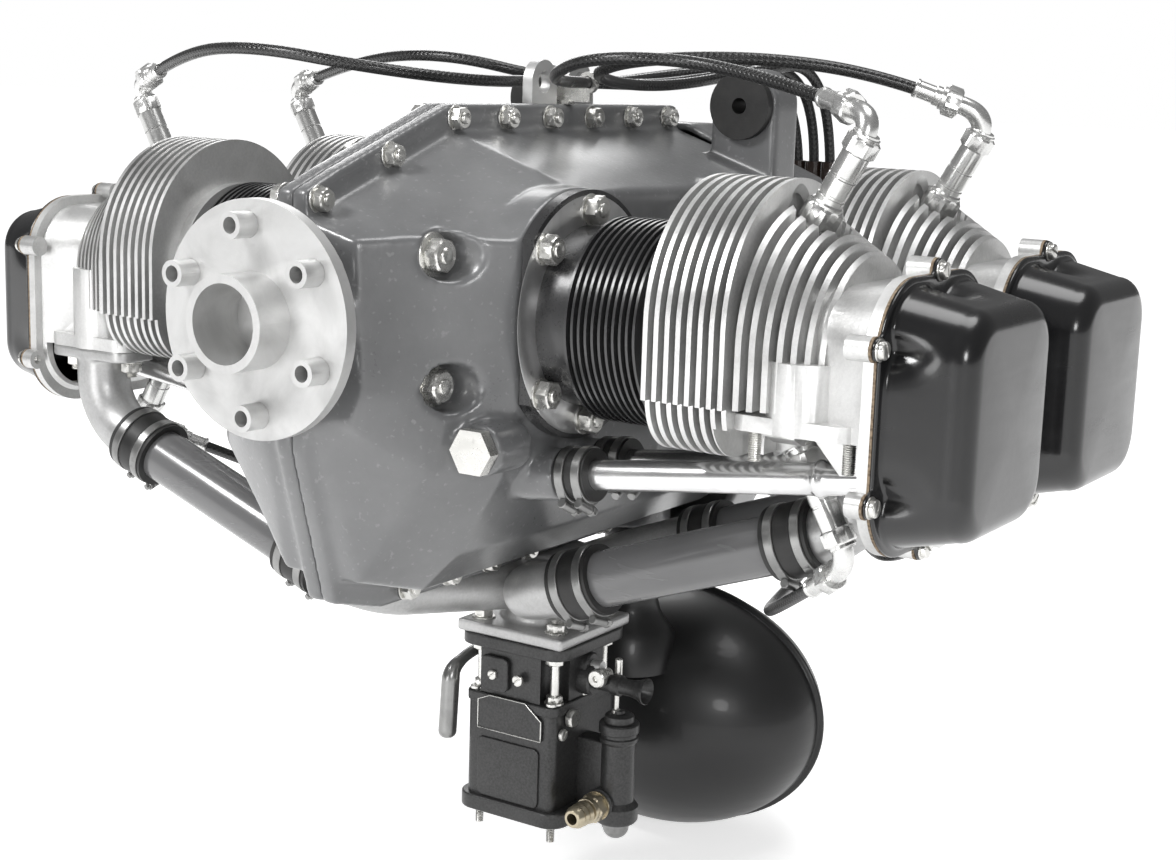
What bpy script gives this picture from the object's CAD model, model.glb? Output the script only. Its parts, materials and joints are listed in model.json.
# Flat aircraft engine: its finishes, softened castings and fittings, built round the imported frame
import json
import math
import bpy
import bmesh
import numpy as np
from mathutils import Matrix, Vector


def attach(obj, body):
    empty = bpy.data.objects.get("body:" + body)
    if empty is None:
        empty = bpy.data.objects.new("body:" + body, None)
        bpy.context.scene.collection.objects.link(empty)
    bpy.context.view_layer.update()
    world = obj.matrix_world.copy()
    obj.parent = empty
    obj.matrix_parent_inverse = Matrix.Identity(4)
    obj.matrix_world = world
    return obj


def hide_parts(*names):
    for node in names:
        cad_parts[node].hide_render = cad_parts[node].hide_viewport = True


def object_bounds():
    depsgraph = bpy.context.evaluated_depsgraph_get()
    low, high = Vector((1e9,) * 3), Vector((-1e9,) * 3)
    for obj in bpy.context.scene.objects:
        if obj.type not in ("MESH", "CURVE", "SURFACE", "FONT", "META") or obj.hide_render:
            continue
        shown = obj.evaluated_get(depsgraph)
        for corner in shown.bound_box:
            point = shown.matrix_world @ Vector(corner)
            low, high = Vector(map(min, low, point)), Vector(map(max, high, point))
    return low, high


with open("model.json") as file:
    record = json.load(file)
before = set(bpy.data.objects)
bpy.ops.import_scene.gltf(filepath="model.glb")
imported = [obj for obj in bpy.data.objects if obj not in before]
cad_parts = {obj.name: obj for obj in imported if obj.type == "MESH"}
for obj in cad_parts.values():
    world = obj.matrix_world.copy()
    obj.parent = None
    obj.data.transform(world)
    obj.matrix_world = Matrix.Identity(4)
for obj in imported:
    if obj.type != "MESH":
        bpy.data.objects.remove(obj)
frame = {"nodes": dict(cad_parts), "record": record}
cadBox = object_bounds()
nodes = frame["nodes"]
print("frame loaded:", len(nodes), "nodes")

# the engine's own layout, in metres; x runs out along the left bank, y backwards from the flange, z up
engine = {
    "firstCylinder": 0.167, "pitch": 0.172, "stagger": 0.041,
    "plugStation": 0.272, "plugSeat": 0.062, "plugTilt": math.radians(29.0), "plugLength": 0.052,
}
cylinders = {
    "left_front": (engine["firstCylinder"], 1),
    "right_front": (engine["firstCylinder"] + engine["stagger"], -1),
    "left_rear": (engine["firstCylinder"] + engine["pitch"], 1),
    "right_rear": (engine["firstCylinder"] + engine["pitch"] + engine["stagger"], -1),
}


# Camera, lamps and floor

camera = {
    "azimuth": 32.79, "elevation": 10.65, "roll": 1.83,            # degrees
    "distance": 1.2451, "target": (0.0899, 0.2216, -0.0840),       # metres
    "focalPixels": 1891.5, "imageWidth": 1176, "sensor": 36.0,
}


def makeCamera(look):
    # stands back from the target along the two angles, then rolls about its own line of sight
    a, e, r = (math.radians(look[key]) for key in ("azimuth", "elevation", "roll"))
    back = Vector((math.sin(a) * math.cos(e), -math.cos(a) * math.cos(e), math.sin(e)))
    right = Vector((math.cos(a), math.sin(a), 0))
    up = back.cross(right)
    rolledRight = right * math.cos(r) + up * math.sin(r)
    rolledUp = up * math.cos(r) - right * math.sin(r)
    lens = bpy.data.cameras.new("photoLens")
    lens.sensor_width = look["sensor"]
    lens.lens = look["focalPixels"] * look["sensor"] / look["imageWidth"]
    lens.clip_start = 0.05
    item = bpy.data.objects.new("photoCamera", lens)
    turn = Matrix((rolledRight, rolledUp, back)).transposed().to_4x4()
    item.matrix_world = Matrix.Translation(Vector(look["target"]) + back * look["distance"]) @ turn
    bpy.context.scene.collection.objects.link(item)
    bpy.context.scene.camera = item


lamps = [
    # name, place, aim, size, watts
    ("keyLamp", (-0.75, -1.15, 1.35), (0.02, 0.15, 0.0), 0.60, 27.0),
    ("cardLamp", (-0.30, -2.00, -0.03), (0.30, 0.15, -0.05), 0.80, 9.5),
    ("frontLamp", (1.35, -1.15, 0.45), (0.12, 0.3, -0.12), 0.45, 9.0),
    ("topLamp", (0.45, 0.45, 1.8), (0.12, 0.25, 0.0), 1.1, 17.0),
    ("backLamp", (-1.2, 1.7, 0.9), (0.0, 0.25, -0.1), 1.2, 12.0),
]


def makeLamps():
    for name, place, aim, size, watts in lamps:
        light = bpy.data.lights.new(name, "AREA")
        light.shape = "DISK"
        light.size = size
        light.energy = watts
        item = bpy.data.objects.new(name, light)
        item.location = place
        item.rotation_euler = (Vector(aim) - Vector(place)).to_track_quat("-Z", "Y").to_euler()
        bpy.context.scene.collection.objects.link(item)


def makeWorld(lightLevel=0.2, seenLevel=1.0):
    # a dim even light on the object, seen as white by camera and clear rays
    world = bpy.data.worlds.new("studio")
    bpy.context.scene.world = world
    world.use_nodes = True
    tree = world.node_tree
    tree.nodes.clear()
    out = tree.nodes.new("ShaderNodeOutputWorld")
    mix = tree.nodes.new("ShaderNodeMixShader")
    rays = tree.nodes.new("ShaderNodeLightPath")
    lit, seen = tree.nodes.new("ShaderNodeBackground"), tree.nodes.new("ShaderNodeBackground")
    lit.inputs["Strength"].default_value = lightLevel
    lit.inputs["Color"].default_value = (1, 1, 1, 1)
    seen.inputs["Strength"].default_value = seenLevel
    seen.inputs["Color"].default_value = (1, 1, 1, 1)
    sharp = tree.nodes.new("ShaderNodeMath")
    sharp.operation = "MAXIMUM"
    tree.links.new(rays.outputs["Is Camera Ray"], sharp.inputs[0])
    tree.links.new(rays.outputs["Is Transmission Ray"], sharp.inputs[1])
    tree.links.new(sharp.outputs[0], mix.inputs["Fac"])
    tree.links.new(lit.outputs[0], mix.inputs[1])
    tree.links.new(seen.outputs[0], mix.inputs[2])
    tree.links.new(mix.outputs[0], out.inputs["Surface"])


def makeFloor(clearance=0.0005, reach=30.0, nearLift=0.62, farLift=0.97, nearAt=0.7, farAt=3.0):
    # the paper is lifted to white for camera, glossy and clear rays: less near the engine, to keep its shadow
    low = cadBox[0][2] - clearance
    corners = [(-reach, -reach, low), (reach, -reach, low), (reach, reach, low), (-reach, reach, low)]
    mesh = bpy.data.meshes.new("studioFloor")
    mesh.from_pydata(corners, [], [(0, 1, 2, 3)])
    floor = bpy.data.objects.new("studioFloor", mesh)
    bpy.context.scene.collection.objects.link(floor)
    paper = bpy.data.materials.new("floorPaper")
    paper.use_nodes = True
    tree = paper.node_tree
    surface = tree.nodes["Principled BSDF"]
    surface.inputs["Base Color"].default_value = (0.93, 0.93, 0.93, 1)
    surface.inputs["Roughness"].default_value = 0.9
    surface.inputs["Specular IOR Level"].default_value = 0.0
    rays, seen = tree.nodes.new("ShaderNodeLightPath"), []
    for first, second in (("Is Camera Ray", "Is Glossy Ray"), (None, "Is Transmission Ray")):
        either = tree.nodes.new("ShaderNodeMath")
        either.operation = "MAXIMUM"
        tree.links.new(rays.outputs[first] if first else seen[0].outputs[0], either.inputs[0])
        tree.links.new(rays.outputs[second], either.inputs[1])
        seen.append(either)
    place, away = tree.nodes.new("ShaderNodeTexCoord"), tree.nodes.new("ShaderNodeVectorMath")
    away.operation = "LENGTH"
    tree.links.new(place.outputs["Object"], away.inputs[0])
    lift = tree.nodes.new("ShaderNodeMapRange")
    lift.interpolation_type = "SMOOTHSTEP"
    spans = {"From Min": nearAt, "From Max": farAt, "To Min": nearLift, "To Max": farLift}
    for socket, value in spans.items():
        lift.inputs[socket].default_value = value
    tree.links.new(away.outputs["Value"], lift.inputs["Value"])
    level = tree.nodes.new("ShaderNodeMath")
    level.operation = "MULTIPLY"
    tree.links.new(lift.outputs["Result"], level.inputs[1])
    tree.links.new(seen[1].outputs[0], level.inputs[0])
    surface.inputs["Emission Color"].default_value = (1, 1, 1, 1)
    tree.links.new(level.outputs[0], surface.inputs["Emission Strength"])
    mesh.materials.append(paper)


bpy.context.scene.view_settings.view_transform = "Standard"
makeCamera(camera)
makeLamps()
makeWorld()
makeFloor()
print("camera, lamps and floor set")


# Finishes

class NodeBench:
    # adds nodes to a material's tree and links them, so that each finish reads as a short recipe

    def __init__(self, name):
        self.material = bpy.data.materials.new(name)
        self.material.use_nodes = True
        self.tree = self.material.node_tree
        self.surface = self.tree.nodes["Principled BSDF"]
        self.place = self.add("ShaderNodeTexCoord").outputs["Object"]

    def add(self, kind, **settings):
        node = self.tree.nodes.new(kind)
        for key, value in settings.items():
            setattr(node, key, value)
        return node

    def link(self, source, target):
        self.tree.links.new(source, target)

    def noise(self, scale, detail=4.0, rough=0.55, place=None, distortion=0.0):
        node = self.add("ShaderNodeTexNoise")
        node.inputs["Scale"].default_value = scale
        node.inputs["Detail"].default_value = detail
        node.inputs["Roughness"].default_value = rough
        node.inputs["Distortion"].default_value = distortion
        self.link(place or self.place, node.inputs["Vector"])
        return node.outputs["Fac"]

    def cells(self, scale):
        node = self.add("ShaderNodeTexVoronoi", feature="F1")
        node.inputs["Scale"].default_value = scale
        self.link(self.place, node.inputs["Vector"])
        return node.outputs["Distance"]

    def stretch(self, scale):
        node = self.add("ShaderNodeMapping")
        node.inputs["Scale"].default_value = scale
        self.link(self.place, node.inputs["Vector"])
        return node.outputs["Vector"]

    def span(self, value, low, high, toLow=0.0, toHigh=1.0, smooth=False):
        node = self.add("ShaderNodeMapRange", interpolation_type="SMOOTHSTEP" if smooth else "LINEAR")
        node.inputs["From Min"].default_value = low
        node.inputs["From Max"].default_value = high
        node.inputs["To Min"].default_value = toLow
        node.inputs["To Max"].default_value = toHigh
        self.link(value, node.inputs["Value"])
        return node.outputs["Result"]

    def math(self, operation, a, b=None):
        node = self.add("ShaderNodeMath", operation=operation)
        for socket, value in zip(node.inputs, (a, b)):
            if value is None:
                continue
            if isinstance(value, (int, float)):
                socket.default_value = value
            else:
                self.link(value, socket)
        return node.outputs[0]

    def blend(self, amount, first, second):
        node = self.add("ShaderNodeMix", data_type="RGBA")
        colours = [socket for socket in node.inputs if socket.type == "RGBA"]
        self.link(amount, node.inputs["Factor"])
        for socket, value in zip(colours, (first, second)):
            if isinstance(value, tuple):
                socket.default_value = (*value, 1)
            else:
                self.link(value, socket)
        return [socket for socket in node.outputs if socket.type == "RGBA"][0]

    def bump(self, height, strength, distance, under=None):
        node = self.add("ShaderNodeBump")
        node.inputs["Strength"].default_value = strength
        node.inputs["Distance"].default_value = distance
        self.link(height, node.inputs["Height"])
        if under is not None:
            self.link(under, node.inputs["Normal"])
        return node.outputs["Normal"]

    def finish(self, colour, roughness, normal, metallic=0.0, **sockets):
        self.link(colour, self.surface.inputs["Base Color"])
        if isinstance(roughness, float):
            self.surface.inputs["Roughness"].default_value = roughness
        else:
            self.link(roughness, self.surface.inputs["Roughness"])
        self.link(normal, self.surface.inputs["Normal"])
        self.surface.inputs["Metallic"].default_value = metallic
        for key, value in sockets.items():
            self.surface.inputs[key.replace("_", " ")].default_value = value
        return self.material


def castPaint(name, look):
    # enamel over a sand casting: a fine sandy grain, slow waves of the skin, dull and bright patches
    bench = NodeBench(name)
    grain = bench.noise(look["grain"], 3, 0.6)
    waves = bench.noise(38, 3, 0.5)
    patches = bench.noise(11, 5, 0.6)
    specks = bench.span(bench.noise(260, 2, 0.5), 0.62, 0.74, smooth=True)
    colour = bench.blend(bench.span(patches, 0.3, 0.7), look["dark"], look["light"])
    colour = bench.blend(bench.math("MULTIPLY", specks, 0.35), colour, look["speck"])
    mixed = bench.math("ADD", bench.math("MULTIPLY", patches, 0.6), bench.math("MULTIPLY", grain, 0.4))
    rough = bench.span(mixed, 0.3, 0.7, look["rough"] - 0.07, look["rough"] + 0.08)
    skin = bench.bump(waves, 0.25, 0.0016)
    skin = bench.bump(grain, look["relief"], 0.00035, skin)
    return bench.finish(colour, rough, skin, Coat_Weight=look["coat"], Coat_Roughness=0.22)


def castAlloy(name, look):
    # bare sand-cast alloy: grey grain with brighter rubbed patches and a darker bloom in the metal
    bench = NodeBench(name)
    grain = bench.noise(look["grain"], 4, 0.65)
    bloom = bench.noise(17, 5, 0.6, distortion=0.4)
    pits = bench.span(bench.cells(420), 0.05, 0.28)
    colour = bench.blend(bench.span(bloom, 0.32, 0.68), look["dark"], look["light"])
    colour = bench.blend(bench.span(grain, 0.35, 0.75, 0.0, 0.35), colour, look["speck"])
    rough = bench.span(bloom, 0.3, 0.7, look["rough"] - 0.06, look["rough"] + 0.1)
    skin = bench.bump(bench.noise(60, 3, 0.5), 0.2, 0.001)
    pitted = bench.math("ADD", grain, bench.math("MULTIPLY", pits, 0.4))
    skin = bench.bump(pitted, look["relief"], 0.0003, skin)
    return bench.finish(colour, rough, skin, metallic=look["metallic"])


def glossEnamel(name, look):
    # sprayed gloss enamel: soft orange peel, a few dust nibs and faint wipe marks in the gloss
    bench = NodeBench(name)
    peel = bench.noise(look["peel"], 2, 0.5)
    wipe = bench.noise(14, 4, 0.6, bench.stretch((1, 1, 6)))
    nibs = bench.span(bench.cells(170), 0.0, 0.09, 1.0, 0.0)
    colour = bench.blend(bench.span(bench.noise(6, 3), 0.3, 0.7), look["dark"], look["light"])
    rough = bench.span(wipe, 0.3, 0.75, look["rough"] - 0.03, look["rough"] + 0.07)
    skin = bench.bump(peel, look["relief"], 0.0006)
    skin = bench.bump(nibs, 0.06, 0.0002, skin)
    return bench.finish(colour, rough, skin, Coat_Weight=look["coat"], Coat_Roughness=0.08)


def workedSteel(name, look):
    # turned or drawn steel: fine tool lines along the named way, stains and small nicks
    bench = NodeBench(name)
    lines = bench.noise(look["lines"], 3, 0.6, bench.stretch(look["way"]))
    stain = bench.noise(24, 5, 0.6, distortion=0.6)
    nicks = bench.span(bench.noise(150, 2, 0.5), 0.66, 0.76, smooth=True)
    colour = bench.blend(bench.span(stain, 0.35, 0.72), look["light"], look["dark"])
    colour = bench.blend(bench.math("MULTIPLY", nicks, look["marks"]), colour, look["stain"])
    mixed = bench.math("ADD", bench.math("MULTIPLY", lines, 0.5), bench.math("MULTIPLY", stain, 0.5))
    rough = bench.span(mixed, 0.3, 0.7, look["rough"] - 0.04, look["rough"] + 0.06)
    return bench.finish(colour, rough, bench.bump(lines, look["relief"], 0.00025), metallic=look["metallic"])


def facedSteel(name, look):
    # a face turned in a lathe about the crankshaft: rings of tool marks, with oil film and handling marks
    bench = NodeBench(name)
    apart = bench.add("ShaderNodeSeparateXYZ")
    bench.link(bench.place, apart.inputs["Vector"])
    squares = [bench.math("POWER", apart.outputs[axis], 2) for axis in "XZ"]
    radius = bench.math("SQRT", bench.math("ADD", *squares))
    uneven = bench.math("ADD", radius, bench.math("MULTIPLY", bench.noise(9, 2), 0.0006))
    rings = bench.math("SINE", bench.math("MULTIPLY", uneven, look["rings"]))
    film = bench.noise(20, 5, 0.62, distortion=0.8)
    colour = bench.blend(bench.span(film, 0.35, 0.75), look["light"], look["dark"])
    mixed = bench.math("ADD", bench.math("MULTIPLY", rings, 0.06), film)
    rough = bench.span(mixed, 0.3, 0.75, look["rough"] - 0.05, look["rough"] + 0.12)
    skin = bench.bump(rings, look["relief"], 0.00012)
    skin = bench.bump(bench.noise(500, 2), 0.12, 0.0001, skin)
    return bench.finish(colour, rough, skin, metallic=look["metallic"])


def mouldedRubber(name, look):
    # hose rubber: a dull bloom, cloth marks from its wrapping and scuffs
    bench = NodeBench(name)
    cloth = bench.math("MULTIPLY", bench.noise(700, 1, 0.5, bench.stretch((1, 0.2, 1))),
                       bench.noise(700, 1, 0.5, bench.stretch((0.2, 1, 1))))
    scuff = bench.noise(30, 5, 0.65)
    colour = bench.blend(bench.span(scuff, 0.4, 0.75), look["dark"], look["light"])
    rough = bench.span(scuff, 0.3, 0.7, look["rough"] - 0.08, look["rough"] + 0.1)
    return bench.finish(colour, rough, bench.bump(cloth, look["relief"], 0.0003))


def fibreSheet(name, look):
    # cork and fibre gasket: pressed crumbs with darker grains
    bench = NodeBench(name)
    crumbs = bench.cells(520)
    colour = bench.blend(bench.span(crumbs, 0.1, 0.7), look["dark"], look["light"])
    return bench.finish(colour, look["rough"], bench.bump(crumbs, 0.5, 0.0003))


def braidedLead(name, look):
    # lacquered braid that follows the lead: two sets of strands crossing along the tube's own map
    bench = NodeBench(name)
    own = bench.add("ShaderNodeUVMap", uv_map="along").outputs["UV"]
    apart = bench.add("ShaderNodeSeparateXYZ")
    bench.link(own, apart.inputs["Vector"])
    across = bench.math("MULTIPLY", apart.outputs["X"], look["strands"] * 2 * math.pi)
    along = bench.math("MULTIPLY", apart.outputs["Y"], look["plait"])
    rightHand = bench.math("SINE", bench.math("ADD", across, along))
    leftHand = bench.math("SINE", bench.math("SUBTRACT", across, along))
    weave = bench.math("MAXIMUM", rightHand, leftHand)
    wornPlaces = bench.noise(45, 4, 0.6)
    rubbed = bench.math("MULTIPLY", bench.span(weave, 0.2, 1.0), wornPlaces)
    colour = bench.blend(bench.span(rubbed, 0.3, 0.75), look["dark"], look["light"])
    rough = bench.span(wornPlaces, 0.3, 0.7, look["rough"] - 0.06, look["rough"] + 0.12)
    return bench.finish(colour, rough, bench.bump(weave, look["relief"], 0.0004), Coat_Weight=0.35,
                        Coat_Roughness=0.2)


looks = {
    "case_paint": (castPaint, {
        "dark": (0.125, 0.127, 0.13), "light": (0.195, 0.197, 0.2), "speck": (0.34, 0.34, 0.34),
        "grain": 420, "rough": 0.32, "relief": 0.26, "coat": 0.6}),
    "barrel_paint": (castPaint, {
        "dark": (0.02, 0.02, 0.021), "light": (0.036, 0.036, 0.037), "speck": (0.09, 0.09, 0.09),
        "grain": 600, "rough": 0.3, "relief": 0.1, "coat": 0.4}),
    "head_alloy": (castAlloy, {
        "dark": (0.5, 0.5, 0.495), "light": (0.72, 0.72, 0.715), "speck": (0.84, 0.84, 0.83),
        "grain": 520, "rough": 0.4, "relief": 0.3, "metallic": 0.7}),
    "cover_paint": (glossEnamel, {
        "dark": (0.008, 0.008, 0.0085), "light": (0.015, 0.015, 0.016), "peel": 240,
        "rough": 0.22, "relief": 0.07, "coat": 0.2}),
    "steel": (facedSteel, {
        "dark": (0.5, 0.5, 0.495), "light": (0.68, 0.68, 0.675), "rings": 9000.0,
        "rough": 0.36, "relief": 0.2, "metallic": 0.6}),
    "plated_fasteners": (workedSteel, {
        "dark": (0.56, 0.555, 0.53), "light": (0.78, 0.775, 0.75), "stain": (0.3, 0.29, 0.27), "marks": 0.25,
        "lines": 300, "way": (1, 1, 1), "rough": 0.27, "relief": 0.1, "metallic": 0.85}),
    "dull_bands": (workedSteel, {
        "dark": (0.16, 0.16, 0.158), "light": (0.34, 0.34, 0.335), "stain": (0.1, 0.1, 0.1), "marks": 0.3,
        "lines": 300, "way": (1, 1, 1), "rough": 0.3, "relief": 0.1, "metallic": 0.8}),
    "tube_steel": (workedSteel, {
        "dark": (0.62, 0.62, 0.62), "light": (0.82, 0.82, 0.82), "stain": (0.4, 0.4, 0.4), "marks": 0.1,
        "lines": 420, "way": (0.02, 1, 1), "rough": 0.2, "relief": 0.06, "metallic": 0.92}),
    "rubber": (mouldedRubber, {
        "dark": (0.01, 0.01, 0.01), "light": (0.035, 0.034, 0.033), "rough": 0.5, "relief": 0.3}),
    "gasket": (fibreSheet, {"dark": (0.1, 0.07, 0.045), "light": (0.3, 0.23, 0.16), "rough": 0.9}),
    "intake_alloy": (castAlloy, {
        "dark": (0.34, 0.34, 0.338), "light": (0.5, 0.5, 0.497), "speck": (0.66, 0.66, 0.66),
        "grain": 480, "rough": 0.34, "relief": 0.22, "metallic": 0.6}),
    "intake_paint": (glossEnamel, {
        "dark": (0.13, 0.13, 0.132), "light": (0.19, 0.19, 0.193), "peel": 200,
        "rough": 0.24, "relief": 0.08, "coat": 0.45}),
    "carburettor_alloy": (castAlloy, {
        "dark": (0.022, 0.022, 0.022), "light": (0.045, 0.045, 0.045), "speck": (0.13, 0.13, 0.13),
        "grain": 560, "rough": 0.33, "relief": 0.26, "metallic": 0.35}),
    "brass": (workedSteel, {
        "dark": (0.34, 0.29, 0.2), "light": (0.56, 0.5, 0.38), "stain": (0.16, 0.12, 0.08), "marks": 0.3,
        "lines": 320, "way": (1, 1, 1), "rough": 0.3, "relief": 0.1, "metallic": 0.9}),
    "sump_paint": (glossEnamel, {
        "dark": (0.010, 0.010, 0.0102), "light": (0.018, 0.018, 0.0185), "peel": 150,
        "rough": 0.4, "relief": 0.04, "coat": 0.1}),
    "magneto_alloy": (castAlloy, {
        "dark": (0.13, 0.13, 0.135), "light": (0.22, 0.22, 0.225), "speck": (0.4, 0.4, 0.4),
        "grain": 500, "rough": 0.38, "relief": 0.25, "metallic": 0.5}),
    "cap_plastic": (glossEnamel, {
        "dark": (0.02, 0.013, 0.01), "light": (0.035, 0.022, 0.016), "peel": 300,
        "rough": 0.26, "relief": 0.1, "coat": 0.3}),
    "lead_braid": (braidedLead, {
        "dark": (0.006, 0.006, 0.006), "light": (0.04, 0.04, 0.04), "strands": 8,
        "plait": 1600.0, "rough": 0.3, "relief": 0.4}),
    "elbow_alloy": (workedSteel, {
        "dark": (0.62, 0.62, 0.61), "light": (0.82, 0.82, 0.81), "stain": (0.35, 0.35, 0.34), "marks": 0.15,
        "lines": 260, "way": (1, 1, 1), "rough": 0.25, "relief": 0.08, "metallic": 0.85}),
    "plug_ceramic": (workedSteel, {
        "dark": (0.55, 0.55, 0.54), "light": (0.8, 0.8, 0.79), "stain": (0.3, 0.3, 0.29), "marks": 0.15,
        "lines": 500, "way": (1, 1, 1), "rough": 0.22, "relief": 0.08, "metallic": 0.88}),
    "piston_alloy": (workedSteel, {
        "dark": (0.5, 0.5, 0.5), "light": (0.7, 0.7, 0.7), "stain": (0.2, 0.2, 0.19), "marks": 0.4,
        "lines": 600, "way": (1, 0.1, 0.1), "rough": 0.3, "relief": 0.2, "metallic": 0.9}),
}
finishes = {slotName: recipe(slotName + "_finish", look) for slotName, (recipe, look) in looks.items()}
slotOf = {part["node"]: part["material_slot"] for part in frame["record"]["subparts"]}


def paintNode(item, slotName):
    item.data.materials.clear()
    item.data.materials.append(finishes[slotName])


for nodeName, item in nodes.items():
    paintNode(item, slotOf[nodeName])
print("finishes made:", len(finishes))


def bodyOf(nodeName):
    for body, members in frame["record"]["behaviour"]["bodies"].items():
        if nodeName in members:
            return body
    return "engine"


# Castings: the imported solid's own form with every edge and hollow rounded, as a sand mould leaves them

castings = {
    # node: grain of the new skin in metres, rounds of smoothing
    "crankcase_left": (0.0022, 9), "crankcase_right": (0.0022, 9), "accessory_case": (0.0022, 6),
    "intake_spider": (0.0014, 5), "intake_elbows": (0.0011, 3),
    "magneto_left": (0.0012, 4), "magneto_right": (0.0012, 4),
}
machined = {
    # node: edge rounding in metres
    "cylinder_head_left_front": 0.0007, "cylinder_head_right_front": 0.0007,
    "cylinder_head_left_rear": 0.0007, "cylinder_head_right_rear": 0.0007,
}


def copyOf(nodeName, ending):
    # the node's own mesh with its loose triangles joined, as a new piece that stands for it
    mesh = nodes[nodeName].data.copy()
    mesh.name = nodeName + ending
    work = bmesh.new()
    work.from_mesh(mesh)
    bmesh.ops.remove_doubles(work, verts=work.verts, dist=1e-6)
    bmesh.ops.dissolve_limit(work, angle_limit=math.radians(1.0), verts=work.verts, edges=work.edges)
    work.to_mesh(mesh)
    work.free()
    item = bpy.data.objects.new(nodeName + ending, mesh)
    bpy.context.scene.collection.objects.link(item)
    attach(item, bodyOf(nodeName))
    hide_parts(nodeName)
    paintNode(item, slotOf[nodeName])
    return item


def castSkin(nodeName, grain, rounds):
    # rebuilt in small cells and rubbed down, so that edges and hollows go round
    item = copyOf(nodeName, "_cast")
    skin = item.modifiers.new("mouldSkin", "REMESH")
    skin.mode = "VOXEL"
    skin.voxel_size = grain
    skin.use_smooth_shade = True
    rubbed = item.modifiers.new("rubbed", "SMOOTH")
    rubbed.factor = 0.5
    rubbed.iterations = rounds


def breakEdges(nodeName, rounding):
    # a narrow two-step bevel along every sharp edge
    item = copyOf(nodeName, "_worked")
    item.data.shade_smooth()
    item.data.set_sharp_from_angle(angle=math.radians(32))
    bevel = item.modifiers.new("brokenEdges", "BEVEL")
    bevel.width = rounding
    bevel.segments = 2
    bevel.limit_method = "ANGLE"
    bevel.angle_limit = math.radians(32)
    bevel.use_clamp_overlap = True
    bevel.harden_normals = True
    bevel.miter_outer = "MITER_ARC"


for nodeName, (grain, rounds) in castings.items():
    castSkin(nodeName, grain, rounds)
for nodeName, rounding in machined.items():
    breakEdges(nodeName, rounding)
print("castings skinned:", len(castings), "and edges broken:", len(machined))


# Surfaces: grids of points made into meshes

def gridMesh(name, grids, smoothAngle=35.0):
    # each grid is (points, closeRows, closeColumns): rows of points joined into faces, merged where rows meet
    points, faces, start = [], [], 0
    for grid, closeRows, closeColumns in grids:
        rows, columns = grid.shape[:2]
        number = np.arange(rows * columns).reshape(rows, columns) + start
        if closeRows:
            number = np.vstack([number, number[:1]])
        if closeColumns:
            number = np.hstack([number, number[:, :1]])
        corners = [number[:-1, :-1], number[:-1, 1:], number[1:, 1:], number[1:, :-1]]
        faces.append(np.stack(corners, -1).reshape(-1, 4))
        points.append(grid.reshape(-1, 3))
        start += rows * columns
    points, faces = np.concatenate(points), np.concatenate(faces)
    mesh = bpy.data.meshes.new(name)
    mesh.from_pydata(points.tolist(), [], faces.tolist())
    work = bmesh.new()
    work.from_mesh(mesh)
    bmesh.ops.remove_doubles(work, verts=work.verts, dist=2e-6)
    bmesh.ops.dissolve_degenerate(work, edges=work.edges, dist=1e-7)
    bmesh.ops.recalc_face_normals(work, faces=work.faces)
    work.to_mesh(mesh)
    work.free()
    mesh.shade_smooth()
    mesh.set_sharp_from_angle(angle=math.radians(smoothAngle))
    item = bpy.data.objects.new(name, mesh)
    bpy.context.scene.collection.objects.link(item)
    return item


def seat(item, body, slotName, *replaced, finish=None):
    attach(item, body)
    if replaced:
        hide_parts(*replaced)
    paintNode(item, finish or slotName)


def axesAlong(direction):
    # three unit vectors, the last along the direction
    along = np.array(direction, float)
    along /= np.linalg.norm(along)
    guess = np.array((0, 0, 1.0)) if abs(along[2]) < 0.9 else np.array((1.0, 0, 0))
    side = np.cross(guess, along)
    side /= np.linalg.norm(side)
    return side, np.cross(along, side), along


def turned(profile, at, direction, around=32):
    # a lathe form: each (height, radius) of the profile goes round the axis through the given point
    side, up, along = axesAlong(direction)
    height, radius = np.array(profile, float).T
    angle = np.arange(around) / around * 2 * np.pi
    ring = np.cos(angle)[None, :, None] * side + np.sin(angle)[None, :, None] * up
    points = np.array(at) + height[:, None, None] * along + radius[:, None, None] * ring
    return points, False, True


def hexTurned(profile, flats, at, direction, around=48, phase=0.0):
    # a hexagon cut from a turned bar: the radius is the smaller of the bar's and the flats' at each angle
    side, up, along = axesAlong(direction)
    height, radius = np.array(profile, float).T
    angle = np.arange(around) / around * 2 * np.pi
    wedge = np.mod(angle - phase + np.pi / 6, np.pi / 3) - np.pi / 6
    flatRadius = flats / 2 / np.cos(wedge)
    reach = np.minimum(radius[:, None], flatRadius[None, :])
    ring = np.cos(angle)[None, :, None] * side + np.sin(angle)[None, :, None] * up
    points = np.array(at) + height[:, None, None] * along + reach[:, :, None] * ring
    return points, False, True


def threaded(start, end, radius, pitch, at, direction, around=14):
    # a screw thread: the radius falls and rises once a pitch, one step further round for each turn
    depth = pitch * 0.5
    side, up, along = axesAlong(direction)
    steps = max(4, int(round((end - start) / pitch * 4)))
    height = np.linspace(start, end, steps + 1)
    angle = np.arange(around) / around * 2 * np.pi
    phase = np.mod(height[:, None] / pitch + angle[None, :] / (2 * np.pi), 1.0)
    reach = radius - depth * np.abs(phase * 2 - 1)
    reach[-1] = np.minimum(reach[-1], radius - depth)
    ring = np.cos(angle)[None, :, None] * side + np.sin(angle)[None, :, None] * up
    points = np.array(at) + height[:, None, None] * along + reach[:, :, None] * ring
    tip = np.broadcast_to(np.array(at) + (end + radius * 0.12) * along, (1, around, 3))
    foot = np.broadcast_to(np.array(at) + start * along, (1, around, 3))
    return np.concatenate([foot, points, tip]), False, True


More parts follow.
